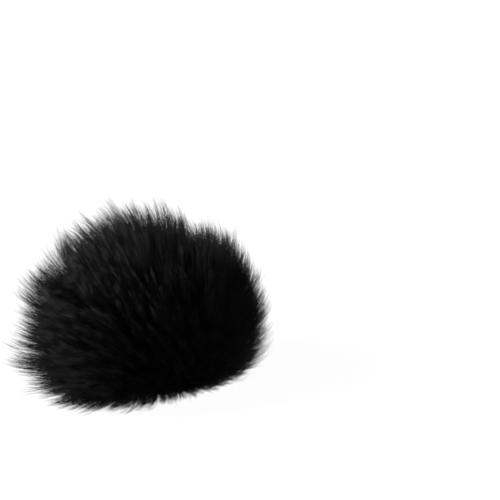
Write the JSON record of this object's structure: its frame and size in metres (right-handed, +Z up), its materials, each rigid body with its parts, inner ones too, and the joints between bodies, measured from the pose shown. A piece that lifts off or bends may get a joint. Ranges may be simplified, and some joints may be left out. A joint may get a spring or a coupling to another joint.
{
  "type": "furry microphone windscreen",
  "caption": "Round long-pile furry windscreen for a small clip-on microphone, worn over a foam core with a soft grip, open underneath.",
  "frame": {"origin": "on the supporting surface, under the middle of the mouth", "axes": "+Z up, out of the crown; -Z out of the mouth, the way the microphone leaves; the elastic's join is at +Y, the back"},
  "size_m": [0.047, 0.047, 0.033],
  "materials": {
    "fur_pile": "long brushed black pile with a soft sheen",
    "knit_backing": "matt black warp knit",
    "binding_tape": "matt black woven tape",
    "elastic_cord": "braided black elastic cord",
    "elastic_sleeve": "black crimped sleeve",
    "thread": "twisted black polyester thread",
    "foam": "open-cell dark grey foam",
    "silicone": "soft satin black silicone"
  },
  "bodies": {
    "core": {"foam_core": "foam", "grip_collar": "silicone"},
    "fur_cover": {"pile_front": "fur_pile", "pile_right": "fur_pile", "pile_back": "fur_pile", "pile_left": "fur_pile", "backing_front": "knit_backing", "backing_right": "knit_backing", "backing_back": "knit_backing", "backing_left": "knit_backing", "hem_binding": "binding_tape", "hem_elastic": "elastic_cord", "elastic_join": "elastic_sleeve", "seam_stitches": "thread", "hem_stitches": "thread", "crown_tack": "thread"}
  },
  "joints": [
    {"name": "fur_cover_lift", "type": "slide", "parent": "core", "child": "fur_cover", "axis": [0, 0, 1], "range_m": [0, 0.03]}
  ]
}
